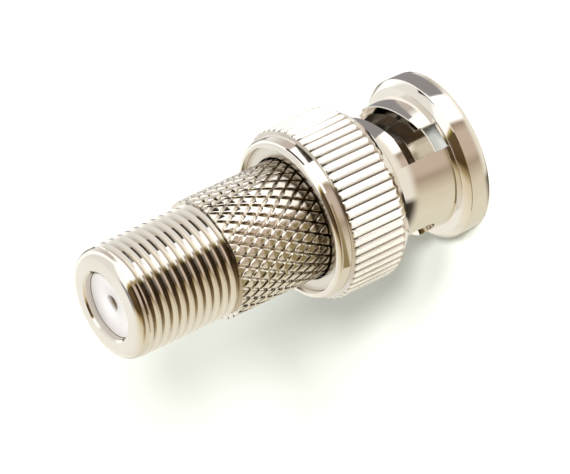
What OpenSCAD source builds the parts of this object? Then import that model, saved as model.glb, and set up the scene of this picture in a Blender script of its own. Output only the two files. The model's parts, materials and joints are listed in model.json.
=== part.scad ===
// Coaxial adapter with a threaded F jack at the top and a bayonet (BNC) plug at the bottom.
// It stands on the front rim of the bayonet nut, with its axis along +Z and the F jack up.
// All sizes are in millimetres.

/* [F jack] */
// Diameter over the crests of the outside thread
thread_d = 9.4; // [8.6:0.05:10.4]
// Length of the threaded stretch
thread_len = 8.55; // [5:0.05:12]
// Pitch of the thread, 32 to the inch
thread_pitch = 0.794; // [0.5:0.002:1.2]
// Depth of the thread
thread_depth = 0.36; // [0.1:0.02:0.5]
// Width of a crest as a share of the pitch
crest_share = 0.4; // [0.2:0.05:0.7]
// Length of the smooth lead in front of the thread
lead_len = 1; // [0.9:0.05:2.5]
// How far the lead lies below the crests of the thread
lead_step = 0.08; // [0.02:0.01:0.3]
// Radius of the rounded front edge of the lead
lead_round = 0.75; // [0.2:0.05:0.85]
// Diameter of the bore in the front face
f_bore_d = 5.74; // [5:0.02:6.6]
// Width of the broken edge of that bore
f_bore_break = 0.15; // [0.05:0.01:0.3]

/* [Barrel] */
// How far the points of the diamond knurl stand above the thread
barrel_step = 0.35; // [0.1:0.05:0.8]
// Length of barrel that shows behind the nut
barrel_show = 8.15; // [5:0.05:14]
// Depth of the diamond knurl
diamond_depth = 0.3; // [0.1:0.02:0.45]
// Grooves of the diamond knurl in each direction
diamond_starts = 32; // [20:1:40]
// Angle between those grooves and the axis
diamond_angle = 30; // [24:1:40]
// Wall of the body around the flange of the plug insulator
neck_wall = 0.9; // [0.5:0.05:1.5]
// Thickness of the shoulder flange that the nut pulls on
flange_t = 1.1; // [0.8:0.05:2]

/* [Bayonet nut] */
// Gap around the sleeve that takes the shell of the mating jack
shell_gap = 0.85; // [0.6:0.05:1.2]
// Wall of the slotted tube around that gap
tube_wall = 0.65; // [0.4:0.05:1]
// Length of the slotted tube between the rim and the grip
tube_len = 5.55; // [5.2:0.05:7]
// How far the front rim stands out from the tube
rim_step = 1.28; // [0.6:0.02:2]
// Width of the edge of the front rim
rim_w = 1.85; // [1:0.05:3]
// Width of the broken edge at the front of the rim
rim_break = 0.15; // [0.05:0.01:0.3]
// Width of the lead-in at the mouth
mouth_break = 0.3; // [0.1:0.05:0.5]
// Chamfer at the back of the front rim
rim_chamfer = 0.55; // [0.2:0.05:0.7]
// Wall around the recess at the rear of the nut
collar_wall = 0.55; // [0.35:0.05:1]
// Length of the plain collar behind the grip
collar_len = 1.3; // [0.6:0.05:2]
// How far the grip stands out from the collar
grip_step = 0.53; // [0.3:0.01:1]
// Length of the chamfer at the front of the grip
grip_chamfer = 1.05; // [0.4:0.05:1.5]
// Drop of that chamfer
grip_drop = 0.8; // [0.3:0.05:1.2]
// Grooves around the grip
grip_grooves = 55; // [36:1:72]
// Depth of a groove
groove_depth = 0.24; // [0.1:0.02:0.4]
// Width of a groove as a share of its pitch
groove_share = 0.4; // [0.2:0.05:0.8]

/* [Bayonet slots] */
// Diameter of the lugs on the mating jack
lug_d = 2; // [1.8:0.05:2.2]
// Diameter across the ends of the two lugs
lug_span = 11; // [10.6:0.05:11.4]
// Play of a lug in its slot
lug_play = 0.3; // [0.1:0.05:0.5]
// Distance from the back of the rim to the centre of the detents
detent_back = 2.66; // [2.3:0.02:3]
// Turn from the entry to the detent
ramp_turn = 90; // [75:1:100]
// Rise of the ramp over that turn
ramp_rise = 1.48; // [1:0.02:1.7]
// How far the lug springs back into the detent
detent_drop = 1.05; // [0.6:0.05:1.2]
// Distance from the edge of the mating jack to its lugs, less the preload of the spring
lug_reach = 4.94; // [4.6:0.02:5.4]

/* [Springs and washers] */
// Thickness of the rubber gasket
gasket_t = 0.8; // [0.5:0.05:1.2]
// Space that the wave spring fills at rest
spring_h = 1.8; // [1.6:0.05:2.6]
// Thickness of the spring's strip
spring_t = 0.25; // [0.15:0.05:0.4]
// Waves around the spring
spring_waves = 3; // [2:1:5]
// Thickness of the slip washer
slip_t = 0.25; // [0.15:0.05:0.5]
// Radial width of the retaining washer
washer_w = 1; // [0.8:0.05:1.6]
// Thickness of the retaining washer
washer_t = 0.6; // [0.3:0.05:1]
// Depth of the recess behind the retaining washer
washer_recess = 0.45; // [0.2:0.05:1]

/* [Contacts] */
// Outside diameter of the slotted sleeve
sleeve_d = 8.1; // [7.6:0.05:8.3]
// Wall of the sleeve
sleeve_wall = 0.55; // [0.4:0.05:0.8]
// How far the sleeve's tip lies inside the front rim
sleeve_recess = 2.3; // [1.5:0.05:4]
// Width of the slits in the sleeve
slit_w = 0.5; // [0.3:0.05:0.9]
// Length of the slits
slit_len = 6; // [4:0.1:7]
// Step from the sleeve to its pressed-in head
head_step = 0.35; // [0.2:0.05:0.6]
// Diameter of the centre pin
pin_d = 1.35; // [1.2:0.01:1.5]
// How far the pin's tip lies inside the sleeve's tip
pin_recess = 0.7; // [0.2:0.05:2]
// Diameter of the contact's socket
socket_d = 2.2; // [1.9:0.05:2.6]
// Diameter of the hole in the socket
socket_bore_d = 1.1; // [0.8:0.05:1.3]
// Depth of that hole
socket_bore_len = 9; // [6:0.5:12]
// Width of the slit across the socket
socket_slit_w = 0.35; // [0.2:0.05:0.5]
// Length of that slit
socket_slit_len = 6.3; // [4:0.1:8]
// Length of the collar that stops the socket
contact_collar_len = 0.8; // [0.4:0.05:1.5]
// Step from the socket to that collar
contact_step = 0.4; // [0.2:0.05:0.6]

/* [Insulators] */
// Depth of the F insulator's face below the front face
f_recess = 0.65; // [0.3:0.05:1.5]
// Thickness of the F insulator
f_insulator_t = 2.95; // [2.4:0.05:4]
// Diameter of the funnel at its face
funnel_d = 1.9; // [1.4:0.05:2.6]
// Depth of the funnel
funnel_len = 0.9; // [0.4:0.05:1.2]
// Diameter of the wire hole
wire_hole_d = 1; // [0.8:0.05:1.2]
// How deep the socket's tip sits in the F insulator
socket_seat = 1.5; // [0.8:0.05:1.5]
// Diameter of the pocket around the centre pin
pocket_d = 4.85; // [4.2:0.05:5.2]
// How far the insulator's end lies inside the sleeve's tip
lining_recess = 0.3; // [0.1:0.05:1]
// Step from the lining to the flange that holds the insulator
lining_step = 0.4; // [0.2:0.05:0.5]

/* [Clearances] */
// Play all round between pieces that slide or turn
run_clear = 0.15; // [0.08:0.01:0.25]
// Play all round between pieces that are pushed together
push_clear = 0.02; // [0.01:0.01:0.05]
// Gap left where one moving face rests on another
seat_gap = 0.05; // [0.02:0.01:0.1]

/* [Hidden] */
$fn = 96;
over = 1;                                   // how far a cutter runs past what it cuts

// Heights up the axis, from the front rim of the nut at zero
rim_back_z = rim_w + rim_chamfer;
detent_z = rim_back_z + detent_back;
grip_z = rim_back_z + tube_len;
gasket_z = detent_z + lug_reach;
seat_z = gasket_z + gasket_t;
flange_top_z = seat_z + flange_t;
slip_z = flange_top_z + spring_h;
washer_z = slip_z + slip_t + seat_gap;
washer_top_z = washer_z + washer_t;
nut_top_z = washer_top_z + washer_recess;
collar_z = nut_top_z - collar_len;
knurl_z = washer_z - run_clear;
thread_z = nut_top_z + barrel_show;
lead_z = thread_z + thread_len;
face_z = lead_z + lead_len;
sleeve_tip_z = sleeve_recess;
lining_tip_z = sleeve_tip_z + lining_recess;
pin_tip_z = sleeve_tip_z + pin_recess;
insulator_top_z = knurl_z - run_clear;
f_insulator_top_z = face_z - f_recess;
f_insulator_z = f_insulator_top_z - f_insulator_t;
socket_tip_z = f_insulator_z + socket_seat;

// Diameters, from the inside out
sleeve_bore_d = sleeve_d - 2 * sleeve_wall;
lining_d = sleeve_bore_d - 2 * push_clear;
insulator_flange_d = lining_d + 2 * lining_step;
head_d = sleeve_d + 2 * head_step;
mouth_d = sleeve_d + 2 * shell_gap;
neck_d = insulator_flange_d + 2 * push_clear + 2 * neck_wall;
barrel_d = thread_d + 2 * barrel_step;
valley_d = barrel_d - 2 * diamond_depth;
lead_d = thread_d - 2 * lead_step;
spigot_r = min(neck_d, valley_d) / 2 - run_clear;
washer_bore_d = max(barrel_d, neck_d) + 2 * run_clear;
recess_d = max(washer_bore_d, mouth_d) + 2 * washer_w;
flange_d = recess_d - 2 * run_clear;
tube_d = mouth_d + 2 * tube_wall;
rim_d = tube_d + 2 * rim_step;
collar_d = recess_d + 2 * collar_wall;
grip_d = collar_d + 2 * grip_step;
grip_break = 0.6 * groove_depth;
slot_w = lug_d + lug_play;

// A ring between two diameters and two heights
module ring(inner_d, outer_d, z0, z1) {
    difference() {
        translate([0, 0, z0]) cylinder(d = outer_d, h = z1 - z0);
        translate([0, 0, z0 - over]) cylinder(d = inner_d, h = z1 - z0 + 2 * over);
    }
}

// A hole along the axis
module bore(d, z0, z1) {
    translate([0, 0, z0]) cylinder(d = d, h = z1 - z0);
}

// Point on the surface of a knurl, from its angle, height and diameter
function around(angle, d, z) = [d / 2 * cos(angle), d / 2 * sin(angle), z];

// Diamond knurl between two heights: grooves cross at the lattice points, and each cell between
// four crossings rises to one point. The two end rows are half cells, closed by a flat ring and a disc.
module diamond_knurl(z0, z1, disc_d) {
    n = diamond_starts;
    cell = 360 / n;
    pitch = PI * barrel_d / n / tan(diamond_angle);
    rows = max(2, round(2 * (z1 - z0) / pitch));
    function crossing(i, j) = (j * n + i % n) * 2;
    function peak(i, j) = crossing(i, j) + 1;
    function place(i, j, d) = around((i + j % 2) * cell / 2, d, z0 + j * (z1 - z0) / rows);
    lattice = [for (j = [0 : rows], i = [0 : 2 * n - 1]) place(i, j, i % 2 == 0 ? valley_d : barrel_d)];
    discs = [for (j = [0, rows], i = [0 : 2 * n - 1]) place(i, j, disc_d)];
    sides = [for (j = [0 : rows], i = [0 : n - 1])
        let (head = crossing(i + j % 2, j + 1), foot = crossing(i + j % 2, j - 1))
        each concat(
            j < rows ? [[peak(i, j), crossing(i, j), head], [peak(i, j), head, crossing(i + 1, j)]] : [],
            j > 0 ? [[peak(i, j), foot, crossing(i, j)], [peak(i, j), crossing(i + 1, j), foot]] : [])];
    first = len(lattice);
    last = first + 2 * n;
    ends = [for (i = [0 : 2 * n - 1]) let (k = (i + 1) % (2 * n), top = 2 * n * rows) each [
        [i, k, first + k], [i, first + k, first + i],
        [top + i, last + k, top + k], [top + i, last + i, last + k]]];
    caps = [[for (i = [0 : 2 * n - 1]) first + i], [for (i = [2 * n - 1 : -1 : 0]) last + i]];
    polyhedron(concat(lattice, discs), concat(sides, ends, caps));
}

// Half section of the jack: the thread, drawn as level grooves at its pitch with a plain crest at
// both ends, and then the lead with its rounded front edge
module jack_section() {
    round_r = lead_d / 2 - lead_round;
    round_z = face_z - lead_round;
    grooves = floor(thread_len / thread_pitch);
    first_z = thread_z + (thread_len - (grooves - 1) * thread_pitch) / 2;
    flank_z = (1 - crest_share) * thread_pitch / 2;
    polygon(concat(
        [[0, thread_z - barrel_step], [thread_d / 2, thread_z - barrel_step]],
        [for (i = [0 : grooves - 1]) let (z = first_z + i * thread_pitch) each [
            [thread_d / 2, z - flank_z], [thread_d / 2 - thread_depth, z], [thread_d / 2, z + flank_z]]],
        [[thread_d / 2, lead_z], [lead_d / 2, lead_z]],
        [for (a = [0 : 10 : 90]) [round_r + lead_round * cos(a), round_z + lead_round * sin(a)]],
        [[0, face_z]]));
}

// Half section of the shoulder flange, the neck above it and the spigot inside the barrel
module shoulder_section() {
    polygon([
        [0, seat_z], [flange_d / 2, seat_z], [flange_d / 2, flange_top_z], [neck_d / 2, flange_top_z],
        [neck_d / 2, knurl_z - seat_gap], [spigot_r, knurl_z - seat_gap],
        [spigot_r, knurl_z + barrel_step], [0, knurl_z + barrel_step]]);
}

// Turned body: threaded jack with a rounded lead, knurled barrel, neck and shoulder flange
module main_body() color("silver") difference() {
    union() {
        rotate_extrude() jack_section();
        diamond_knurl(knurl_z, thread_z, min(thread_d, 2 * spigot_r) - 2 * run_clear);
        rotate_extrude() shoulder_section();
    }
    bore(f_bore_d, insulator_top_z - over, face_z + over);
    translate([0, 0, face_z - f_bore_break])
        cylinder(d1 = f_bore_d, d2 = f_bore_d + 4 * f_bore_break, h = 2 * f_bore_break);
    bore(insulator_flange_d + 2 * push_clear, seat_z - over, insulator_top_z);
    bore(head_d, seat_z - over, flange_top_z);
}

// White disc in the F face, with a funnel that leads a wire into the contact's socket
module f_insulator() color("white") difference() {
    bore(f_bore_d - 2 * push_clear, f_insulator_z, f_insulator_top_z);
    bore(wire_hole_d, f_insulator_z - over, f_insulator_top_z + over);
    translate([0, 0, f_insulator_top_z - funnel_len])
        cylinder(d1 = wire_hole_d, d2 = funnel_d, h = funnel_len);
    translate([0, 0, f_insulator_top_z]) cylinder(d = funnel_d, h = over);
    bore(socket_d + 2 * push_clear, f_insulator_z - over, socket_tip_z + seat_gap);
}

// One turned contact: slotted socket above, stop collar in the middle, pin below
module centre_contact() color("goldenrod") difference() {
    union() {
        bore(socket_d, gasket_z, socket_tip_z);
        bore(socket_d + 2 * contact_step, insulator_top_z, insulator_top_z + contact_collar_len);
        bore(pin_d, pin_tip_z + pin_d / 2, gasket_z + over);
        translate([0, 0, pin_tip_z + pin_d / 2]) sphere(d = pin_d);
    }
    bore(socket_bore_d, socket_tip_z - socket_bore_len, socket_tip_z + over);
    translate([-socket_d, -socket_slit_w / 2, socket_tip_z - socket_slit_len])
        cube([2 * socket_d, socket_slit_w, socket_slit_len + over]);
}

// White insulator of the plug: flange under the body's shoulder, pierced base, lining of the sleeve
module bnc_insulator() color("white") difference() {
    union() {
        bore(lining_d, lining_tip_z, insulator_top_z);
        bore(insulator_flange_d, flange_top_z, insulator_top_z);
    }
    bore(pocket_d, lining_tip_z - over, gasket_z);
    bore(socket_d + 2 * push_clear, gasket_z - over, insulator_top_z + over);
}

// Spring sleeve of the plug, slit crosswise, with a head that is pressed into the body's flange
module outer_contact() color("silver") difference() {
    union() {
        bore(sleeve_d, sleeve_tip_z + sleeve_wall / 2, flange_top_z);
        translate([0, 0, sleeve_tip_z])
            cylinder(d1 = sleeve_d - sleeve_wall, d2 = sleeve_d, h = sleeve_wall / 2);
        bore(head_d - 2 * push_clear, seat_z, flange_top_z);
    }
    bore(sleeve_bore_d, sleeve_tip_z - over, flange_top_z + over);
    for (turn = [45, 135]) rotate(turn)
        translate([-sleeve_d, -slit_w / 2, sleeve_tip_z - over])
            cube([2 * sleeve_d, slit_w, slit_len + over]);
}

// Rubber ring on which the edge of the mating jack seats
module gasket() color("dimgray")
    ring(sleeve_d + 2 * push_clear, mouth_d - 2 * run_clear, gasket_z, seat_z);

// Half section of the nut's turned blank: rim, tube, grip with its two chamfers, and collar
module nut_section() {
    polygon([
        [0, 0], [rim_d / 2 - rim_break, 0], [rim_d / 2, rim_break], [rim_d / 2, rim_w],
        [rim_d / 2 - rim_chamfer, rim_back_z], [tube_d / 2, rim_back_z], [tube_d / 2, grip_z],
        [grip_d / 2 - grip_drop, grip_z], [grip_d / 2, grip_z + grip_chamfer],
        [grip_d / 2, collar_z - grip_break], [grip_d / 2 - grip_break, collar_z],
        [collar_d / 2, collar_z], [collar_d / 2, nut_top_z], [0, nut_top_z]]);
}

// Straight knurl: a ring of V-grooves along the grip, as a cutter that stays clear of the rest
module grip_grooves_cutter() {
    half_w = grip_d / 2 * sin(groove_share * 180 / grip_grooves);
    translate([0, 0, grip_z - over]) linear_extrude(collar_z - grip_z + 2 * over)
        for (i = [1 : grip_grooves]) rotate(i * 360 / grip_grooves)
            translate([grip_d / 2 - groove_depth, 0])
                polygon([[0, 0], [2 * groove_depth, -2 * half_w], [2 * groove_depth, 2 * half_w]]);
}

// Helical part of a lug slot: a bar swept round the axis from the entry to the detent
module ramp_cutter() {
    steps = 18;
    inner_d = mouth_d - 2 * over;
    outer_d = tube_d + 2 * over;
    end_z = detent_z + detent_drop;
    function low(i) = end_z - ramp_rise * (1 - i / steps) - slot_w / 2;
    points = [for (i = [0 : steps]) let (a = ramp_turn * i / steps, z = low(i))
        each [around(a, inner_d, z), around(a, outer_d, z),
              around(a, outer_d, z + slot_w), around(a, inner_d, z + slot_w)]];
    walls = [for (i = [0 : steps - 1], k = [0 : 3]) let (p = 4 * i + k, q = 4 * i + (k + 1) % 4)
        each [[p, q + 4, p + 4], [p, q, q + 4]]];
    start = [[0, 3, 2], [0, 2, 1]];
    finish = [for (t = [[0, 1, 2], [0, 2, 3]]) [for (k = t) 4 * steps + k]];
    polyhedron(points, concat(start, walls, finish));
}

// Round hole through the wall of the slotted tube
module wall_hole(d, z) {
    translate([mouth_d / 2 - over, 0, z]) rotate([0, 90, 0]) cylinder(d = d, h = tube_wall + 2 * over);
}

// One lug slot: straight entry from the front, helical ramp with a round end, and round detent
module lug_slot() {
    ramp_z = detent_z + detent_drop;
    entry_top = ramp_z - ramp_rise + slot_w / 2 + lug_play;
    entry_depth = max(lug_span, tube_d) / 2 + lug_play;
    translate([0, -slot_w / 2, -over]) cube([entry_depth, slot_w, entry_top + over]);
    ramp_cutter();
    rotate(ramp_turn) wall_hole(slot_w, detent_z);
    rotate(ramp_turn) wall_hole(slot_w - 2 * seat_gap, ramp_z);
}

// Bayonet nut: front rim, slotted tube, knurled grip, collar and the recess that holds the springs
module coupling_nut() color("silver") difference() {
    rotate_extrude() nut_section();
    grip_grooves_cutter();
    bore(mouth_d, -over, nut_top_z + over);
    translate([0, 0, -mouth_break])
        cylinder(d1 = mouth_d + 4 * mouth_break, d2 = mouth_d, h = 2 * mouth_break);
    bore(recess_d, seat_z - seat_gap, nut_top_z + over);
    for (turn = [-90, 90]) rotate(turn) lug_slot();
}

// Flat ring pressed into the rear recess of the nut, with the barrel running free in its hole
module retaining_washer() color("silver")
    ring(washer_bore_d, recess_d - 2 * push_clear, washer_z, washer_top_z);

// Thin flat washer between the spring and the turning nut
module slip_washer() color("lightgray")
    ring(washer_bore_d, flange_d, slip_z, slip_z + slip_t);

// Wave spring between the body's flange and the slip washer
module wave_spring() color("slategray") {
    steps = 24 * spring_waves;
    swing = (spring_h - spring_t) / 2 - seat_gap;
    middle = flange_top_z + (spring_h - spring_t) / 2;
    inner_d = washer_bore_d + 2 * seat_gap;
    outer_d = flange_d - 2 * seat_gap;
    points = [for (i = [0 : steps - 1])
        let (a = 360 * i / steps, z = middle + swing * cos(spring_waves * a))
        each [around(a, inner_d, z), around(a, outer_d, z),
              around(a, outer_d, z + spring_t), around(a, inner_d, z + spring_t)]];
    last = 4 * steps;
    walls = [for (i = [0 : steps - 1], k = [0 : 3]) let (p = 4 * i + k, q = 4 * i + (k + 1) % 4)
        each [[p, (q + 4) % last, (p + 4) % last], [p, q, (q + 4) % last]]];
    polyhedron(points, walls);
}

main_body();
f_insulator();
centre_contact();
bnc_insulator();
outer_contact();
gasket();
coupling_nut();
retaining_washer();
slip_washer();
wave_spring();
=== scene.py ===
import json
from math import atan2, ceil, cos, hypot, pi, radians, sin

import bmesh
import bpy
from mathutils import Matrix, Vector


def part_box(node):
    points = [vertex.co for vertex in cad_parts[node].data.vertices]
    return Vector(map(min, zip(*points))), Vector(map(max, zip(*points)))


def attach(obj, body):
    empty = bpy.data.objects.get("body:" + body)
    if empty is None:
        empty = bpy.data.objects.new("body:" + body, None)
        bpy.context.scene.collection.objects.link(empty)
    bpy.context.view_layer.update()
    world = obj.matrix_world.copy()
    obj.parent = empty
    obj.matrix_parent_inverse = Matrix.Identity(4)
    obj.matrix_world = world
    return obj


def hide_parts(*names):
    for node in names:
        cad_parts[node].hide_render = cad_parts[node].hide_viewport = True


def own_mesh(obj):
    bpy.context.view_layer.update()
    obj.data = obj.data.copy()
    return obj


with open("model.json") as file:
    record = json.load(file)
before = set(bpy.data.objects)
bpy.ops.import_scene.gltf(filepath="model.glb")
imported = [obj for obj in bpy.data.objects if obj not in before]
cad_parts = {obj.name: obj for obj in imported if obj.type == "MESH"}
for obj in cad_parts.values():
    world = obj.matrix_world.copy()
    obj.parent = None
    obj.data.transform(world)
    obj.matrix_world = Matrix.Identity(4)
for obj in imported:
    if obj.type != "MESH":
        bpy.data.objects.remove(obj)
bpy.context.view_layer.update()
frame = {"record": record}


# Main body. One bar of brass is turned, drilled, rolled with a diamond knurl and cut with the jack's
# thread, and then plated with bright nickel. Every other piece is pressed, pushed or slipped on to it.
mm = 0.001
merge_gap = 0.0005 * mm
around = 120
push_clear = 0.02 * mm
run_clear = 0.15 * mm
body_low, body_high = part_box("main_body")
jack_thread = next(mount for mount in frame["record"]["mounts"] if mount["name"] == "f_thread")
thread_r = jack_thread["dims"]["r_mm"] * mm
thread_len = jack_thread["dims"]["length_mm"] * mm
thread_low = jack_thread["pos_m"][2] - thread_len / 2
thread_high = thread_low + thread_len
thread_pitch = 25.4 * mm / 32
thread_depth = 0.36 * mm
lead_r = thread_r - 0.08 * mm
lead_slope = 0.12 * mm
lead_round = 0.75 * mm
face_z = body_high.z
seat_z = body_low.z
jack_bore_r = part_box("f_insulator")[1].x + push_clear
jack_bore_break = 0.15 * mm
plug_insulator_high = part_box("bnc_insulator")[1]
pocket_r = plug_insulator_high.x + push_clear
pocket_z = plug_insulator_high.z
flange_r = body_high.x
flange_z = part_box("outer_contact")[1].z
head_bore_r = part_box("outer_contact")[1].x + push_clear
neck_r = pocket_r + 0.9 * mm
knurl_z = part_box("retaining_washer")[0].z - run_clear
knurl_r = thread_r + 0.35 * mm
knurl_depth = 0.30 * mm
knurl_groove = 0.13 * mm
knurl_starts = 32
knurl_period = 1.75 * mm
tile_shoulders = ((0.11 * mm, 0.80), (0.05 * mm, 0.14), (0.04 * mm, 0.06))
edge_fade = 0.1 * mm
# How far the painted shade and reflection near the nut reach up the knurl.
nut_shade_reach = 4.4 * mm


def strand(bm, points):
    """Vertices joined by edges, one after the other."""
    verts = [bm.verts.new(point) for point in points]
    return verts + [bm.edges.new(pair) for pair in zip(verts, verts[1:])]


def trim(bm, height, keep_above):
    """Cut a shape level at a height and throw one side away."""
    bmesh.ops.bisect_plane(bm, geom=bm.verts[:] + bm.edges[:] + bm.faces[:], dist=merge_gap,
                           plane_co=(0, 0, height), plane_no=(0, 0, 1),
                           clear_inner=keep_above, clear_outer=not keep_above)


def open_ring(bm, height):
    """The open edges that lie at a height."""
    return [edge for edge in bm.edges if edge.is_boundary
            and all(abs(vert.co.z - height) < merge_gap for vert in edge.verts)]


def carry_on(bm, ring, outline):
    """Carry a ring of open edges on along an outline of radius and height."""
    for radius, height in outline:
        made = bmesh.ops.extrude_edge_only(bm, edges=ring)["geom"]
        verts = {part for part in made if isinstance(part, bmesh.types.BMVert)}
        for vert in verts:
            grow = radius / hypot(vert.co.x, vert.co.y)
            vert.co = (vert.co.x * grow, vert.co.y * grow, height)
        ring = list({edge for vert in verts for edge in vert.link_edges if edge.other_vert(vert) in verts})
    return ring


def arc(centre_r, centre_z, radius, start, end, steps):
    """Points of a round stretch of an outline, with its angles in degrees."""
    turns = [radians(start + (end - start) * step / steps) for step in range(steps + 1)]
    return [(centre_r + radius * cos(turn), centre_z + radius * sin(turn)) for turn in turns]


def rolled(verts, radius):
    """Roll flat work round the axis: x runs round it, y stands off it, and z stays."""
    for vert in verts:
        turn = vert.co.x / radius
        vert.co = ((radius + vert.co.y) * cos(turn), (radius + vert.co.y) * sin(turn), vert.co.z)


def closed(bm):
    """Join the seams and turn all faces outwards."""
    bmesh.ops.remove_doubles(bm, verts=bm.verts, dist=merge_gap)
    bmesh.ops.recalc_face_normals(bm, faces=bm.faces)


def as_object(name, bm, finish=None, sharp=34):
    """Make an object of a bmesh, smooth but for edges that turn more than the sharp angle in degrees."""
    for face in bm.faces:
        face.smooth = True
    for edge in bm.edges:
        edge.smooth = not edge.is_manifold or edge.calc_face_angle() < radians(sharp)
    mesh = bpy.data.meshes.new(name)
    bm.to_mesh(mesh)
    bm.free()
    if finish:
        mesh.materials.append(finish)
    made = bpy.data.objects.new(name, mesh)
    bpy.context.scene.collection.objects.link(made)
    return made


class Wire:
    """An output of a shader node. Sums of wires and numbers add Math nodes to its tree."""

    def __init__(self, tree, socket=None):
        self.tree = tree
        self.socket = socket

    def node(self, kind, output=0, settings=(), sockets=()):
        """Add a node, with its settings and then its sockets, and give one of its outputs."""
        made = self.tree.nodes.new("ShaderNode" + kind)
        for name, setting in dict(settings).items():
            if name == "stops":
                self.set_stops(made.color_ramp.elements, setting)
            else:
                setattr(made, name, setting)
        for name, value in dict(sockets).items():
            if isinstance(value, Wire):
                self.tree.links.new(value.socket, made.inputs[name])
            else:
                made.inputs[name].default_value = value
        return Wire(self.tree, made.outputs[output] if made.outputs else None)

    def set_stops(self, elements, stops):
        """Give a ramp its stops, each a position and a colour."""
        for element, (position, colour) in ((elements[0], stops[0]), (elements[1], stops[-1])):
            element.position = position
            element.color = (*colour, 1)
        for position, colour in stops[1:-1]:
            elements.new(position).color = (*colour, 1)

    def math(self, operation, *values):
        return self.node("Math", 0, {"operation": operation}, enumerate(values))

    def mix(self, low, high):
        """A colour between two others, with this wire as the share of the second."""
        return self.node("Mix", 2, {"data_type": "RGBA"}, {0: self, 6: low, 7: high})

    def __add__(self, other):
        return self.math("ADD", self, other)

    def __radd__(self, other):
        return self.math("ADD", other, self)

    def __sub__(self, other):
        return self.math("SUBTRACT", self, other)

    def __rsub__(self, other):
        return self.math("SUBTRACT", other, self)

    def __mul__(self, other):
        return self.math("MULTIPLY", self, other)

    def __rmul__(self, other):
        return self.math("MULTIPLY", other, self)

    def __pow__(self, other):
        return self.math("POWER", self, other)


def new_finish(name):
    """An empty material and a wire to start its nodes from."""
    finish = bpy.data.materials.new(name)
    finish.use_nodes = True
    finish.node_tree.nodes.clear()
    return finish, Wire(finish.node_tree)


def nickel(name, bright, dull, smooth, lathe_marks, hollows=(), shade_tone=(0.10, 0.06, 0.03)):
    """Nickel plate: two near colours in soft clouds, fine turning marks and a slightly uneven gloss.

    A hollow is a stretch of height that fades out at both ends, with its crest's radius, its depth, how
    much painted shade darkens its bottom, and how far a satin finish and painted highlight whiten its
    crest.
    """
    finish, start = new_finish(name)
    place = start.node("TexCoord", "Object")
    clouds = start.node("TexNoise", "Fac", {}, {"Vector": place, "Scale": 320, "Detail": 3})
    specks = start.node("TexNoise", "Fac", {}, {"Vector": place, "Scale": 5200, "Detail": 2})
    height = start.node("SeparateXYZ", "Z", {}, {"Vector": place})
    level = start.node("CombineXYZ", "Vector", {}, {"Z": height})
    radius = start.node("VectorMath", "Value", {"operation": "DISTANCE"}, {0: place, 1: level})
    marks = start.node("TexNoise", "Fac", {}, {"Vector": level, "Scale": 14000, "Detail": 3})
    grains = start.node("TexNoise", "Fac", {}, {"Vector": place, "Scale": 1500, "Detail": 2})
    relief = start.node("Bump", "Normal", {}, {"Height": marks * lathe_marks + specks * 0.4,
                                               "Strength": 0.25, "Distance": 0.004 * mm})
    painted_shade = clouds * 0
    satin_highlight = clouds * 0
    for low, high, fade, crest, depth, shade_strength, satin_highlight_share in hollows:
        off_middle = start.math("ABSOLUTE", height - (low + high) / 2)
        here = start.node("MapRange", "Result", {}, {"Value": off_middle, "From Min": (high - low) / 2,
                                                     "From Max": (high - low) / 2 - fade})
        sunk = start.node("MapRange", "Result", {}, {"Value": radius, "From Min": crest,
                                                     "From Max": crest - depth})
        # Painted shade: each hollow's bottom is darkened in mottled patches, towards a dark tone, where
        # shade falls.
        painted_shade = painted_shade + here * sunk ** 2.5 * (0.2 + clouds + 0.6 * grains) * shade_strength
        # Satin finish and painted highlight: each hollow's crest is whitened, less metallic and duller.
        satin_highlight = satin_highlight + here * (1 - sunk) * satin_highlight_share
    painted_shade = start.math("MINIMUM", painted_shade, 1)
    plate = start.node("BsdfPrincipled", "BSDF", {}, {
        "Base Color": painted_shade.mix(satin_highlight.mix(clouds.mix((*dull, 1), (*bright, 1)), (0.97, 0.96, 0.95, 1)),
                                grains.mix((0.02, 0.012, 0.006, 1), (*shade_tone, 1))),
        "Metallic": 1 - satin_highlight,
        "Roughness": smooth + 0.06 * clouds + 0.03 * specks + 0.25 * painted_shade + 0.4 * satin_highlight, "Normal": relief})
    start.node("OutputMaterial", 0, {}, {"Surface": plate})
    return finish


# The thread is one groove profile, spun up the axis as a screw and cut level at both ends.
body = bmesh.new()
one_turn = [(thread_depth * drop, thread_pitch * share) for share, drop in (
    (0, 0), (0.12, 0), (0.31, 0.5), (0.5, 1), (0.69, 0.5), (0.88, 0), (1, 0))]
groove = strand(body, [(thread_r - drop, 0, thread_low - thread_pitch + rise) for drop, rise in one_turn])
bmesh.ops.spin(body, geom=groove, axis=(0, 0, 1), dvec=(0, 0, thread_pitch / around), angle=2 * pi,
               steps=around)
first_turn = body.faces[:]
for number in range(1, ceil(thread_len / thread_pitch) + 2):
    next_turn = bmesh.ops.duplicate(body, geom=first_turn)["geom"]
    bmesh.ops.translate(body, verts=[part for part in next_turn if isinstance(part, bmesh.types.BMVert)],
                        vec=(0, 0, number * thread_pitch))
bmesh.ops.remove_doubles(body, verts=body.verts, dist=merge_gap)
trim(body, thread_low, True)
trim(body, thread_high, False)
jack_outline = (
    [(lead_r, thread_high + lead_slope)]
    + arc(lead_r - lead_round, face_z - lead_round, lead_round, 0, 90, 9)
    + [(jack_bore_r + jack_bore_break, face_z), (jack_bore_r, face_z - jack_bore_break),
       (jack_bore_r, pocket_z), (pocket_r, pocket_z), (pocket_r, flange_z), (head_bore_r, flange_z),
       (head_bore_r, seat_z), (flange_r, seat_z), (flange_r, flange_z), (neck_r, flange_z),
       (neck_r, knurl_z)])
neck_ring = carry_on(body, open_ring(body, thread_high), jack_outline)

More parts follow.
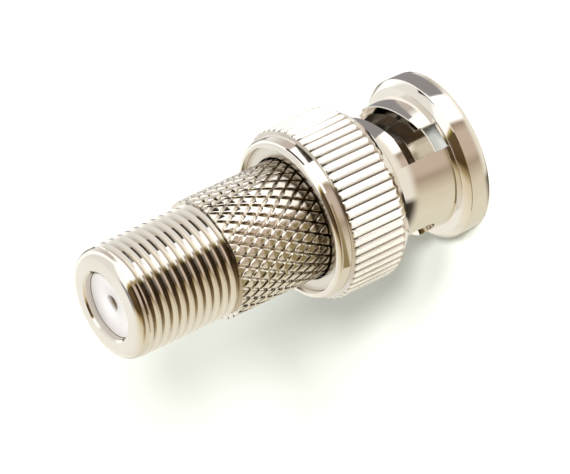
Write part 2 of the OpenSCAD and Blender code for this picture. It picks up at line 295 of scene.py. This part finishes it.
# The knurl is one raised diamond, repeated round the barrel in staggered rows. Its corners are sunk,
# since the grooves are deepest where they cross.
knurl = bmesh.new()
knurl_rows = round(2 * (thread_low - knurl_z) / knurl_period)
knurl_step = (thread_low - knurl_z) / knurl_rows
valley_r = knurl_r - knurl_groove
cell = 2 * pi / knurl_starts
half_cell = cell / 2 * valley_r
corners = [Vector((x * half_cell, 0, z * knurl_step)) for x, z in ((1, 0), (0, 1), (-1, 0), (0, -1))]
knurl.faces.new([knurl.verts.new(corner.lerp(following, share))
                 for corner, following in zip(corners, corners[1:] + corners[:1])
                 for share in (0, 0.4, 0.6)])
bmesh.ops.recalc_face_normals(knurl, faces=knurl.faces)
tip = knurl.faces[:]
for width, share in tile_shoulders:
    bmesh.ops.inset_individual(knurl, faces=tip, thickness=width, use_even_offset=True)
    bmesh.ops.translate(knurl, verts=tip[0].verts, vec=(0, share * knurl_groove, 0))
crossings = [vert for vert in knurl.verts
             if vert.is_boundary and abs(vert.co.x * vert.co.z) < merge_gap ** 2]
bmesh.ops.translate(knurl, verts=crossings, vec=(0, knurl_groove - knurl_depth, 0))
rolled(knurl.verts, valley_r)
bmesh.ops.rotate(knurl, verts=knurl.verts, cent=(0, 0, 0), matrix=Matrix.Rotation(cell / 2, 3, "Z"))
one = knurl.verts[:] + knurl.edges[:] + knurl.faces[:]
bmesh.ops.spin(knurl, geom=one, axis=(0, 0, 1), angle=2 * pi - cell, steps=knurl_starts - 1,
               use_duplicate=True)
row = knurl.verts[:] + knurl.edges[:] + knurl.faces[:]
for number in range(knurl_rows + 1):
    copy = bmesh.ops.duplicate(knurl, geom=row)["geom"]
    verts = [part for part in copy if isinstance(part, bmesh.types.BMVert)]
    bmesh.ops.rotate(knurl, verts=verts, matrix=Matrix.Rotation(number % 2 * cell / 2, 3, "Z"))
    bmesh.ops.translate(knurl, verts=verts, vec=(0, 0, knurl_z + number * knurl_step))
pattern = [part for part in row if isinstance(part, bmesh.types.BMVert)]
bmesh.ops.delete(knurl, geom=pattern, context="VERTS")
bmesh.ops.remove_doubles(knurl, verts=knurl.verts, dist=merge_gap)
trim(knurl, knurl_z, True)
trim(knurl, thread_low, False)
barrel = bpy.data.meshes.new("barrel")
knurl.to_mesh(barrel)
knurl.free()
thread_ring = open_ring(body, thread_low)
known = set(body.edges)
body.from_mesh(barrel)
bpy.data.meshes.remove(barrel)
barrel_rings = [edge for edge in body.edges if edge not in known and edge.is_boundary]
barrel_middle = (knurl_z + thread_low) / 2
upper_ring = [edge for edge in barrel_rings if edge.verts[0].co.z > barrel_middle]
lower_ring = [edge for edge in barrel_rings if edge.verts[0].co.z < barrel_middle]
bmesh.ops.bridge_loops(body, edges=thread_ring + upper_ring)
bmesh.ops.bridge_loops(body, edges=neck_ring + lower_ring)
closed(body)
# The body's painted shade: dark knurl valleys and thread roots, a golden-brown painted shade and reflection
# on the knurl near the nut, and a little in the jack's bore.
body_nickel = nickel("body_nickel", (0.84, 0.80, 0.74), (0.77, 0.72, 0.65), 0.03, 1.0, [
    (knurl_z, thread_low, edge_fade, knurl_r - knurl_groove, knurl_depth - knurl_groove, 0.4, 0),
    (knurl_z - nut_shade_reach, knurl_z + nut_shade_reach, nut_shade_reach,
     knurl_r + 2 * knurl_groove, 3 * knurl_groove, 1.7, 0),
    (thread_low, thread_high, edge_fade, thread_r, thread_depth, 0.4, 0),
    (pocket_z, face_z - jack_bore_break, edge_fade, jack_bore_r + edge_fade, edge_fade, 0.12, 0)],
    (0.28, 0.19, 0.07))
body_piece = as_object("turned_body", body, body_nickel)
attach(body_piece, "adapter_body")
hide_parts("main_body")


# Jack insulator. A disc of white plastic, moulded with a funnel that leads the cable's wire into the
# contact. It is pushed into the jack's bore and sits a little below the face.
disc_low, disc_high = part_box("f_insulator")
disc_r = disc_high.x
funnel_r = 0.70 * mm
funnel_depth = 0.9 * mm
wire_hole_r = 0.5 * mm
socket_r = 1.1 * mm
socket_hole_r = socket_r + push_clear
socket_hole_z = disc_low.z + 1.55 * mm


def turned(outline, steps=around):
    """A closed outline of radius and height, spun once round the axis."""
    bm = bmesh.new()
    points = [(radius, 0, height) for radius, height in outline]
    bmesh.ops.spin(bm, geom=strand(bm, points + points[:1]), axis=(0, 0, 1), angle=2 * pi, steps=steps,
                   use_merge=True)
    closed(bm)
    return bm


def soften(bm, width, segments=2, chosen=lambda edge: True):
    """Round the edges that turn by more than 25 degrees."""
    edges = [edge for edge in bm.edges
             if edge.is_manifold and edge.calc_face_angle() > radians(25) and chosen(edge)]
    bmesh.ops.bevel(bm, geom=edges, offset=width, affect="EDGES", segments=segments, profile=0.5,
                    material=-1)


def plastic(name, colour, shade, hole_shade_r=merge_gap):
    """Smooth moulded plastic with a faint mottle and a soft shine, with painted shade inside a radius."""
    finish, start = new_finish(name)
    place = start.node("TexCoord", "Object")
    mottle = start.node("TexNoise", "Fac", {}, {"Vector": place, "Scale": 900, "Detail": 4})
    grain = start.node("TexNoise", "Fac", {}, {"Vector": place, "Scale": 9000, "Detail": 2})
    relief = start.node("Bump", "Normal", {}, {"Height": grain, "Strength": 0.3, "Distance": 0.006 * mm})
    height = start.node("SeparateXYZ", "Z", {}, {"Vector": place})
    level = start.node("CombineXYZ", "Vector", {}, {"Z": height})
    radius = start.node("VectorMath", "Value", {"operation": "DISTANCE"}, {0: place, 1: level})
    # Painted shade: dark brown inside the radius, as in a deep hole.
    hole_shade = start.node("MapRange", "Result", {}, {"Value": radius, "From Min": hole_shade_r,
                                                  "From Max": 0.85 * hole_shade_r})
    skin = start.node("BsdfPrincipled", "BSDF", {}, {
        "Base Color": hole_shade.mix(mottle.mix((*shade, 1), (*colour, 1)), (0.10, 0.075, 0.05, 1)),
        "Roughness": 0.38 + 0.12 * mottle, "Normal": relief})
    start.node("OutputMaterial", 0, {}, {"Surface": skin})
    return finish


disc = turned([(disc_r, disc_low.z), (disc_r, disc_high.z), (funnel_r, disc_high.z),
               (wire_hole_r, disc_high.z - funnel_depth), (wire_hole_r, socket_hole_z),
               (socket_hole_r, socket_hole_z), (socket_hole_r, disc_low.z)], 96)
soften(disc, 0.06 * mm)
# The funnel's hole gets painted shade.
disc_plastic = plastic("jack_insulator_plastic", (0.73, 0.71, 0.70), (0.69, 0.67, 0.66), funnel_r)
disc_piece = as_object("jack_insulator", disc, disc_plastic)
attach(disc_piece, "adapter_body")
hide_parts("f_insulator")


# Centre contact. One turned pin of plated brass, slit at the jack's end to grip a wire and rounded at
# the plug's end. Its collar stops it on the plug insulator.
pin_low, pin_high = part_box("centre_contact")
pin_r = 0.675 * mm
collar_r = pin_high.x
collar_low = pocket_z
collar_high = collar_low + 0.8 * mm
socket_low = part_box("gasket")[0].z
socket_bore_r = 0.55 * mm
socket_bore_z = pin_high.z - 9 * mm
socket_slit_w = 0.35 * mm
socket_slit_len = 6.3 * mm


def box_cutter(bm, low, high, turn=0):
    """Add a block between two corners, turned round the axis."""
    low, high = Vector(low), Vector(high)
    place = Matrix.Translation((low + high) / 2) @ Matrix.Diagonal((*(high - low), 1))
    bmesh.ops.create_cube(bm, size=1, matrix=Matrix.Rotation(turn, 4, "Z") @ place)


def cut_away(bm, cutter):
    """What is left of a shape when the volume of the cutter is taken from it."""
    blank = as_object("blank", bm)
    tool = as_object("tool", cutter)
    knife = blank.modifiers.new("cut", "BOOLEAN")
    knife.operation = "DIFFERENCE"
    knife.solver = "EXACT"
    knife.object = tool
    shape = blank.evaluated_get(bpy.context.evaluated_depsgraph_get())
    left = bmesh.new()
    left.from_mesh(shape.to_mesh())
    shape.to_mesh_clear()
    for used in (blank, tool):
        mesh = used.data
        bpy.data.objects.remove(used)
        bpy.data.meshes.remove(mesh)
    return left


def brass(name, colour, deep):
    """Plated brass with faint turning marks and a slightly tarnished tone in patches."""
    finish, start = new_finish(name)
    place = start.node("TexCoord", "Object")
    tarnish = start.node("TexNoise", "Fac", {}, {"Vector": place, "Scale": 700, "Detail": 4})
    height = start.node("SeparateXYZ", "Z", {}, {"Vector": place})
    level = start.node("CombineXYZ", "Vector", {}, {"Z": height})
    marks = start.node("TexNoise", "Fac", {}, {"Vector": level, "Scale": 16000, "Detail": 2})
    relief = start.node("Bump", "Normal", {}, {"Height": marks, "Strength": 0.3, "Distance": 0.004 * mm})
    metal = start.node("BsdfPrincipled", "BSDF", {}, {
        "Base Color": tarnish.mix((*deep, 1), (*colour, 1)), "Metallic": 1.0,
        "Roughness": 0.20 + 0.12 * tarnish, "Normal": relief})
    start.node("OutputMaterial", 0, {}, {"Surface": metal})
    return finish


contact = turned(
    [(0, pin_low.z)] + arc(0, pin_low.z + pin_r, pin_r, -80, 0, 8)
    + [(pin_r, socket_low), (socket_r, socket_low), (socket_r, collar_low), (collar_r, collar_low),
       (collar_r, collar_high), (socket_r, collar_high), (socket_r, pin_high.z),
       (socket_bore_r, pin_high.z), (socket_bore_r, socket_bore_z), (0, socket_bore_z)], 64)
soften(contact, 0.05 * mm)
slit = bmesh.new()
box_cutter(slit, (-2 * socket_r, -socket_slit_w / 2, pin_high.z - socket_slit_len),
           (2 * socket_r, socket_slit_w / 2, pin_high.z + mm))
contact = cut_away(contact, slit)
contact_brass = brass("contact_brass", (0.80, 0.62, 0.34), (0.62, 0.44, 0.20))
contact_piece = as_object("contact_pin", contact, contact_brass)
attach(contact_piece, "adapter_body")
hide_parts("centre_contact")


# Plug insulator. A white plastic bush, turned with a flange that the body's shoulder holds, a pierced
# base for the contact and a thin lining inside the spring sleeve.
bush_low, bush_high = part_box("bnc_insulator")
sleeve_low, sleeve_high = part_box("outer_contact")
sleeve_r = sleeve_high.x - 0.33 * mm
sleeve_bore_r = sleeve_r - 0.55 * mm
lining_r = sleeve_bore_r - push_clear
pocket_wall_r = 2.425 * mm
bush = turned([(lining_r, bush_low.z), (lining_r, flange_z), (bush_high.x, flange_z),
               (bush_high.x, bush_high.z), (socket_hole_r, bush_high.z), (socket_hole_r, socket_low),
               (pocket_wall_r, socket_low), (pocket_wall_r, bush_low.z)], 96)
soften(bush, 0.08 * mm)
bush_plastic = plastic("plug_insulator_plastic", (0.90, 0.89, 0.90), (0.84, 0.83, 0.85))
bush_piece = as_object("plug_insulator", bush, bush_plastic)
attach(bush_piece, "adapter_body")
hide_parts("bnc_insulator")


# Spring sleeve. The plug's outer contact, a thin turned tube of nickel-plated bronze with four slits,
# so that its fingers press on the mating jack. Its thicker head is pressed into the body's flange.
sleeve_lead = 0.275 * mm
sleeve_slit_w = 0.5 * mm
sleeve_slit_len = 6 * mm
# Where the sleeve's painted shade starts, a little way inside the nut.
sleeve_shade_z = sleeve_low.z + 2.2 * mm
sleeve = turned([(sleeve_r - sleeve_lead, sleeve_low.z), (sleeve_r, sleeve_low.z + sleeve_lead),
                 (sleeve_r, seat_z), (sleeve_high.x, seat_z), (sleeve_high.x, sleeve_high.z),
                 (sleeve_bore_r, sleeve_high.z), (sleeve_bore_r, sleeve_low.z)])
soften(sleeve, 0.04 * mm)
slits = bmesh.new()
for turn in (45, 135):
    box_cutter(slits, (-2 * sleeve_r, -sleeve_slit_w / 2, sleeve_low.z - mm),
               (2 * sleeve_r, sleeve_slit_w / 2, sleeve_low.z + sleeve_slit_len), radians(turn))
bmesh.ops.recalc_face_normals(slits, faces=slits.faces)
sleeve = cut_away(sleeve, slits)
# Painted shade: the sleeve is darkened from a little way in, inside the nut.
sleeve_nickel = nickel("sleeve_nickel", (0.82, 0.79, 0.73), (0.74, 0.69, 0.61), 0.14, 1.2, [
    (sleeve_shade_z, seat_z, edge_fade, sleeve_r + edge_fade, edge_fade, 0.95, 0)])
sleeve_piece = as_object("spring_sleeve", sleeve, sleeve_nickel)
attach(sleeve_piece, "adapter_body")
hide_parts("outer_contact")


# Gasket. A flat ring of soft black rubber, slipped over the sleeve up to the flange, which the edge of
# the mating jack presses on.
gasket_low, gasket_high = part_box("gasket")
gasket_bore_r = sleeve_r + push_clear


def rubber(name, colour, bloom):
    """Matt rubber with a fine grain and a pale bloom in patches."""
    finish, start = new_finish(name)
    place = start.node("TexCoord", "Object")
    patches = start.node("TexNoise", "Fac", {}, {"Vector": place, "Scale": 800, "Detail": 4})
    grain = start.node("TexNoise", "Fac", {}, {"Vector": place, "Scale": 12000, "Detail": 3})
    relief = start.node("Bump", "Normal", {}, {"Height": grain, "Strength": 0.6, "Distance": 0.01 * mm})
    skin = start.node("BsdfPrincipled", "BSDF", {}, {
        "Base Color": patches.mix((*colour, 1), (*bloom, 1)),
        "Roughness": 0.62 + 0.18 * patches, "Normal": relief})
    start.node("OutputMaterial", 0, {}, {"Surface": skin})
    return finish


gasket = turned([(gasket_bore_r, gasket_low.z), (gasket_high.x, gasket_low.z),
                 (gasket_high.x, gasket_high.z), (gasket_bore_r, gasket_high.z)], 96)
soften(gasket, 0.12 * mm, 3)
gasket_rubber = rubber("gasket_rubber", (0.018, 0.018, 0.019), (0.05, 0.05, 0.052))
gasket_piece = as_object("seat_gasket", gasket, gasket_rubber)
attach(gasket_piece, "adapter_body")
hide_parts("gasket")


# Coupling nut. A turned brass shell with a straight-knurled grip, milled with two helical slots that
# catch the lugs of the mating jack, and plated with bright nickel. It is slipped on from the front.
nut_low, nut_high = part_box("coupling_nut")
mouth_r = sleeve_r + 0.85 * mm
mouth_break = 0.3 * mm
tube_r = mouth_r + 0.65 * mm
rim_r = tube_r + 1.28 * mm
rim_w = 1.85 * mm
rim_break = 0.15 * mm
rim_chamfer = 0.55 * mm
rim_back_z = rim_w + rim_chamfer
grip_z = rim_back_z + 5.55 * mm
grip_r = nut_high.x
grip_chamfer = 1.05 * mm
grip_drop = 0.8 * mm
grip_break = 0.144 * mm
grip_crown = 0.18 * mm
grip_grooves = 55
grip_lines = 8
grip_depth = 0.24 * mm
nut_top = nut_high.z
nut_collar_z = nut_top - 1.3 * mm
nut_collar_r = grip_r - 0.53 * mm
rear_round = 0.45 * mm
recess_r = nut_collar_r - 0.55 * mm
recess_z = seat_z - 0.05 * mm
slot_w = 2.3 * mm
detent_z = rim_back_z + 2.66 * mm
detent_drop = 1.05 * mm
ramp_turn = radians(90)
ramp_rise = 1.48 * mm
entry_r = tube_r + 0.3 * mm
entry_over = 0.3 * mm
slot_break = 0.07 * mm
slot_flare = 2 * slot_break
slot_sink = 1.2 * mm
slot_stand = 0.6 * mm

nut = turned([
    (rim_r - rim_break, 0), (rim_r, rim_break), (rim_r, rim_w), (rim_r - rim_chamfer, rim_back_z),
    (tube_r, rim_back_z), (tube_r, grip_z), (grip_r - grip_drop, grip_z), (grip_r, grip_z + grip_chamfer),
    (grip_r, nut_collar_z - grip_break), (grip_r - grip_break, nut_collar_z), (nut_collar_r, nut_collar_z),
    *arc(nut_collar_r - rear_round, nut_top - rear_round, rear_round, 0, 90, 5),
    (recess_r, nut_top), (recess_r, recess_z), (mouth_r, recess_z),
    (mouth_r, mouth_break), (mouth_r + mouth_break, 0)], grip_grooves * grip_lines)


def reach(vert):
    """How far a vertex lies from the axis."""
    return hypot(vert.co.x, vert.co.y)


def runs_round(edge):
    """Whether an edge runs round the nut, nearer the axis than the grip's crown."""
    level = abs(edge.verts[0].co.z - edge.verts[1].co.z) < merge_gap
    return level and max(map(reach, edge.verts)) < grip_r - grip_crown


soften(nut, 0.07 * mm, 2, runs_round)

# The lines along the grip are pushed in, the more the further they lie from the crown of their rib.
for vert in nut.verts:
    if reach(vert) > grip_r - grip_depth:
        line = round(atan2(vert.co.y, vert.co.x) / (2 * pi) * grip_grooves * grip_lines)
        drop = grip_depth * abs(2 * (line % grip_lines) / grip_lines - 1) ** 2.6
        sink = min(1, (grip_r - drop) / reach(vert))
        front = vert.co.z < (grip_z + nut_collar_z) / 2
        vert.co = (vert.co.x * sink, vert.co.y * sink,
                   grip_z + grip_chamfer * (1 - drop / grip_drop) if front else vert.co.z)

# Two milling cutters make each slot: a straight one for the entry, and one for the ramp and detent.
# The second is drawn flat, with a flare that breaks the slot's lips, and is then rolled round the tube.
entry = bmesh.new()
ramp = bmesh.new()
ramp_z = detent_z + detent_drop
cutter_r = slot_w / 2
run = ramp_turn * tube_r
bend_w = run / 22
outline = ([(0, ramp_z - ramp_rise - cutter_r)]
           + arc(run, detent_z, cutter_r, 195, 360, 14) + arc(run, ramp_z, cutter_r, 0, 96, 8)
           + [(0, ramp_z - ramp_rise + cutter_r)])
for side in (-90, 90):
    box_cutter(entry, (0, -cutter_r, -mm),
               (entry_r, cutter_r, ramp_z - ramp_rise + cutter_r + entry_over), radians(side))
    flat = bmesh.new()
    face = flat.faces.new([flat.verts.new((x, 0, z)) for x, z in outline])
    flat.normal_update()
    if face.normal.y < 0:
        face.normal_flip()
    bmesh.ops.translate(flat, verts=flat.verts, vec=(0, -slot_sink, 0))
    bmesh.ops.duplicate(flat, geom=[face])
    lid = face
    for rise, flare in ((slot_sink - slot_break, 0), (slot_flare, slot_flare), (slot_stand, 0)):
        grown = bmesh.ops.extrude_face_region(flat, geom=[lid])["geom"]
        bmesh.ops.delete(flat, geom=[lid], context="FACES_ONLY")
        lid = next(part for part in grown if isinstance(part, bmesh.types.BMFace))
        bmesh.ops.translate(flat, verts=lid.verts, vec=(0, rise, 0))
        outward = {}
        for loop in lid.loops:
            back = (loop.vert.co - loop.link_loop_prev.vert.co).normalized()
            ahead = (loop.link_loop_next.vert.co - loop.vert.co).normalized()
            outward[loop.vert] = (back + ahead).cross(lid.normal).normalized()
        for vert, direction in outward.items():
            vert.co += direction * flare
    closed(flat)
    for step in range(1, ceil((run + cutter_r + slot_flare) / bend_w)):
        bmesh.ops.bisect_plane(flat, geom=flat.verts[:] + flat.edges[:] + flat.faces[:], dist=merge_gap,
                               plane_co=(step * bend_w, 0, 0), plane_no=(1, 0, 0))
    rolled(flat.verts, tube_r)
    bmesh.ops.rotate(flat, verts=flat.verts, matrix=Matrix.Rotation(radians(side), 3, "Z"))
    shape = bpy.data.meshes.new("ramp")
    flat.to_mesh(shape)
    flat.free()
    ramp.from_mesh(shape)
    bpy.data.meshes.remove(shape)
for cutter in (entry, ramp):
    bmesh.ops.recalc_face_normals(cutter, faces=cutter.faces)
    nut = cut_away(nut, cutter)
# The nut's painted shade: dark grooves between the grip's ribs, whose crowns a satin finish and painted
# highlight whiten, darker groove ends at the back of the grip, and a darkened mouth.
nut_nickel = nickel("nut_nickel", (0.85, 0.81, 0.76), (0.78, 0.73, 0.66), 0.03, 0.8, [
    (grip_z + grip_chamfer, nut_collar_z, edge_fade, grip_r, grip_depth, 0.8, 0.55),
    (nut_collar_z - 0.55 * mm, nut_collar_z + 0.03 * mm, 0.2 * mm, grip_r, grip_depth, 1.2, 0),
    (nut_low.z, recess_z, edge_fade, mouth_r + edge_fade, edge_fade, 1.1, 0)])
nut_piece = as_object("bayonet_shell", nut, nut_nickel)
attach(nut_piece, "bayonet_nut")
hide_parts("coupling_nut")


# Wave spring. A ring of spring-steel strip pressed into three waves. It sits on the body's flange and
# pulls the nut back. The real one flattens as the nut is pulled forward; here it keeps its free shape.
wave_low, wave_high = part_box("wave_spring")
slip_low, slip_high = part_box("slip_washer")
wave_r = wave_high.x
washer_bore_r = knurl_r + run_clear
wave_bore_r = washer_bore_r + 0.05 * mm
wave_t = 0.25 * mm
wave_count = 3


def steel(name, colour, dark, smooth):
    """Rolled steel: a fine grain along the sheet and a few darker patches."""
    finish, start = new_finish(name)
    place = start.node("TexCoord", "Object")
    patches = start.node("TexNoise", "Fac", {}, {"Vector": place, "Scale": 600, "Detail": 3})
    stretched = start.node("Mapping", "Vector", {}, {"Vector": place, "Scale": (1, 12, 12)})
    grain = start.node("TexNoise", "Fac", {}, {"Vector": stretched, "Scale": 1500, "Detail": 3})
    relief = start.node("Bump", "Normal", {}, {"Height": grain, "Strength": 0.3, "Distance": 0.005 * mm})
    metal = start.node("BsdfPrincipled", "BSDF", {}, {
        "Base Color": patches.mix((*dark, 1), (*colour, 1)), "Metallic": 1.0,
        "Roughness": smooth + 0.12 * grain, "Normal": relief})
    start.node("OutputMaterial", 0, {}, {"Surface": metal})
    return finish


wave = turned([(wave_bore_r, -wave_t / 2), (wave_r, -wave_t / 2),
               (wave_r, wave_t / 2), (wave_bore_r, wave_t / 2)], 144)
soften(wave, 0.04 * mm)
swing = (wave_high.z - wave_low.z - wave_t) / 2
for vert in wave.verts:
    vert.co.z += (wave_low.z + wave_high.z) / 2 + swing * cos(wave_count * atan2(vert.co.y, vert.co.x))
spring_steel = steel("spring_steel", (0.62, 0.62, 0.63), (0.48, 0.48, 0.49), 0.24)
wave_piece = as_object("wave_ring", wave, spring_steel)
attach(wave_piece, "adapter_body")
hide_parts("wave_spring")
pull = next(joint for joint in frame["record"]["behaviour"]["joints"] if joint["name"] == "nut_pull")
spring_room = slip_low.z - flange_z
pressed = round(1 - pull["range_m"][1] / spring_room, 3)
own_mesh(wave_piece)


# Slip washer. A thin flat ring of steel between the spring, which stays still, and the nut, which turns.
# It is only clamped there.
slip = turned([(washer_bore_r, slip_low.z), (slip_high.x, slip_low.z),
               (slip_high.x, slip_high.z), (washer_bore_r, slip_high.z)])
soften(slip, 0.04 * mm)
slip_steel = steel("slip_steel", (0.66, 0.66, 0.66), (0.54, 0.54, 0.54), 0.22)
slip_piece = as_object("slip_ring", slip, slip_steel)
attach(slip_piece, "nut_carrier")
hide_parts("slip_washer")


# Retaining washer. A flat ring stamped from brass sheet and nickel-plated, pressed into the nut's rear
# recess to hold the springs in. The barrel runs free in its hole.
retainer_low, retainer_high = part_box("retaining_washer")
retainer = turned([(washer_bore_r, retainer_low.z), (retainer_high.x, retainer_low.z),
                   (retainer_high.x, retainer_high.z), (washer_bore_r, retainer_high.z)], 144)
soften(retainer, 0.07 * mm)
retainer_nickel = nickel("retainer_nickel", (0.78, 0.74, 0.68), (0.70, 0.65, 0.58), 0.26, 0.3)
retainer_piece = as_object("retaining_ring", retainer, retainer_nickel)
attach(retainer_piece, "bayonet_nut")
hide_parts("retaining_washer")


# Table and studio. The part stands on a pale table in a white tent with warm and dark gaps. Bright metal
# shows what it mirrors, so the tent and a few curved cards near the part give it its bands of light and
# dark, and the table is left out of its reflections.
camera_azimuth = radians(-100.85)
camera_elevation = radians(27.88)
camera_roll = radians(-115.37)
camera_distance = 475.7 * mm
camera_aim = Vector((-1.05, 0.20, 15.87)) * mm
tent = bpy.data.worlds.new("tent")
bpy.context.scene.world = tent
tent.use_nodes = True
tent.node_tree.nodes.clear()
sky = Wire(tent.node_tree)
way = sky.node("TexCoord", "Generated")
way_x, way_y, way_z = (sky.node("SeparateXYZ", axis, {}, {"Vector": way}) for axis in "XYZ")
bearing = (sky.math("ARCTAN2", way_y, way_x) - camera_azimuth) * (0.5 / pi) + 1.5
base_walls = [
    (-180, (1.0, 0.97, 0.88)), (-135, (1.0, 0.97, 0.88)), (-122, (0.05, 0.04, 0.03)),
    (-70, (0.05, 0.04, 0.03)), (-58, (1.0, 0.97, 0.88)), (180, (1.0, 0.97, 0.88))]
low_walls = [
    (-180, (0.75, 0.74, 0.68)), (-150, (0.80, 0.78, 0.64)), (-95, (0.88, 0.83, 0.68)),
    (-62, (0.80, 0.73, 0.58)), (-44, (0.60, 0.51, 0.39)), (-34, (0.48, 0.38, 0.29)),
    (-22, (0.66, 0.54, 0.44)), (8, (0.68, 0.56, 0.47)), (21, (0.40, 0.31, 0.24)),
    (29, (1.8, 1.8, 1.8)), (62, (1.8, 1.8, 1.8)), (74, (0.95, 0.95, 0.93)),
    (84, (0.62, 0.55, 0.50)), (108, (0.66, 0.60, 0.55)), (142, (1.0, 1.0, 0.98)),
    (154, (0.10, 0.09, 0.08)), (166, (0.75, 0.74, 0.68)), (180, (0.75, 0.74, 0.68))]
middle_walls = [
    (-180, (1.2, 1.2, 1.1)), (-140, (0.95, 0.92, 0.82)), (-105, (0.85, 0.78, 0.58)),
    (-85, (0.50, 0.40, 0.24)), (-60, (0.20, 0.13, 0.05)), (-40, (0.12, 0.07, 0.03)),
    (-24, (0.03, 0.018, 0.008)), (12, (0.04, 0.025, 0.012)), (19, (0.60, 0.47, 0.16)),
    (25, (1.6, 1.6, 1.5)), (62, (1.6, 1.6, 1.6)), (74, (1.4, 1.4, 1.4)),
    (150, (1.4, 1.4, 1.4)), (180, (1.2, 1.2, 1.1))]
high_walls = [
    (-180, (1.05, 1.05, 1.0)), (-140, (1.0, 0.97, 0.88)), (-110, (0.95, 0.90, 0.74)),
    (-72, (0.80, 0.70, 0.50)), (-56, (0.42, 0.31, 0.16)), (-42, (0.10, 0.055, 0.02)),
    (-10, (0.13, 0.085, 0.04)), (14, (0.14, 0.09, 0.035)), (20, (0.60, 0.47, 0.16)),
    (26, (1.35, 1.35, 1.35)), (62, (1.35, 1.35, 1.35)), (72, (0.95, 0.94, 0.90)),
    (136, (0.95, 0.95, 0.92)), (180, (1.05, 1.05, 1.0))]


def tent_wall(stops):
    """The colours of the tent round the compass, from the camera's own bearing."""
    places = [((angle + 180) / 360, colour) for angle, colour in stops]
    return sky.node("ValToRGB", "Color", {"stops": places}, {"Fac": sky.math("FRACT", bearing)})


def above(low, high):
    """How far a direction lies above one slope and up to another."""
    return sky.node("MapRange", "Result", {"interpolation_type": "SMOOTHSTEP"},
                    {"Value": way_z, "From Min": low, "From Max": high})


lower = above(-0.20, 0.03).mix(tent_wall(low_walls), tent_wall(middle_walls))
sides = above(0.20, 0.40).mix(lower, tent_wall(high_walls))
upper = above(0.93, 0.99).mix(sides, (0.3, 0.3, 0.3, 1))
based = above(-0.66, -0.57).mix(tent_wall(base_walls), upper)
inside = above(-0.995, -0.97).mix((1.0, 0.97, 0.88, 1), based)
seen = sky.node("LightPath", "Is Camera Ray")
spread = sky.node("LightPath", "Is Diffuse Ray")
light = sky.node("Background", "Background", {}, {"Color": seen.mix(inside, (1, 1, 1, 1)),
                                                  "Strength": 1 - 0.5 * spread})
sky.node("OutputWorld", 0, {}, {"Surface": light})

table = bmesh.new()
bmesh.ops.create_circle(table, cap_ends=True, segments=96, radius=1.5,
                        matrix=Matrix.Translation((0, 0, nut_low.z)))
table_white, start = new_finish("table_white")
seen = start.node("LightPath", "Is Camera Ray")
paper = start.node("BsdfDiffuse", "BSDF", {}, {"Color": (0.925, 0.96, 0.90, 1)})
glow = start.node("Emission", "Emission", {}, {"Color": seen.mix((0, 0, 0, 1), (0.04, 0.04, 0.04, 1))})
start.node("OutputMaterial", 0, {}, {"Surface": start.node("AddShader", 0, {}, {0: paper, 1: glow})})
table_piece = as_object("table", table, table_white)
table_piece.visible_glossy = False


def from_bearing(azimuth, elevation, distance):
    """A place at a bearing and height round the part."""
    level = distance * cos(elevation)
    return Vector((level * cos(azimuth), level * sin(azimuth), distance * sin(elevation)))


card_r = 30 * mm
cards = [
    ("low_flag", -17 * mm, -7.3 * mm, 63, 90, (0.33, 0.32, 0.33, 1)),
    ("high_flag", 7.5 * mm, 18.6 * mm, 51, 33, (0.05, 0.04, 0.03, 1)),
    ("white_card", -0.8 * mm, 7.4 * mm, 10, 72, (1.6, 1.6, 1.55, 1)),
    ("gold_card", -0.8 * mm, 7.4 * mm, -90, 86, (0.34, 0.27, 0.13, 1))]
for name, low, high, start_turn, width, tone in cards:
    card = bmesh.new()
    bmesh.ops.spin(card, geom=strand(card, [(card_r, 0, low), (card_r, 0, high)]), axis=(0, 0, 1),
                   angle=radians(width), steps=45)
    facing = Matrix.Rotation(camera_azimuth + radians(start_turn), 3, "Z")
    bmesh.ops.rotate(card, verts=card.verts, matrix=facing)
    card_finish, start = new_finish(name)
    glow = start.node("Emission", "Emission", {}, {"Color": tone})
    start.node("OutputMaterial", 0, {}, {"Surface": glow})
    card_piece = as_object(name, card, card_finish)
    card_piece.visible_camera = False
    card_piece.visible_diffuse = False
    card_piece.visible_shadow = False

lamp_distance = 1.2
lamps = [
    ("softbox", 7, 28, 160 * mm, 14.5),
    ("second", 17, 38, 220 * mm, 8.5),
    ("overhead", 40, 60, 620 * mm, 1.5)]
for name, turn, rise, size, power in lamps:
    lamp = bpy.data.objects.new(name, bpy.data.lights.new(name, "AREA"))
    lamp.data.shape = "DISK"
    lamp.data.size = size
    lamp.data.energy = power
    lamp.visible_glossy = False
    lamp.location = from_bearing(camera_azimuth + radians(turn), radians(rise), lamp_distance)
    lamp.rotation_euler = (-lamp.location).to_track_quat("-Z", "Y").to_euler()
    bpy.context.scene.collection.objects.link(lamp)

camera = bpy.data.objects.new("camera", bpy.data.cameras.new("camera"))
camera.data.lens = 381
camera.data.sensor_width = 36
camera.location = camera_aim + from_bearing(camera_azimuth, camera_elevation, camera_distance)
upright = (camera_aim - camera.location).to_track_quat("-Z", "Y").to_matrix()
camera.rotation_euler = (upright @ Matrix.Rotation(camera_roll, 3, "Z")).to_euler()
bpy.context.scene.collection.objects.link(camera)
bpy.context.scene.camera = camera
bpy.context.scene.view_settings.view_transform = "Standard"
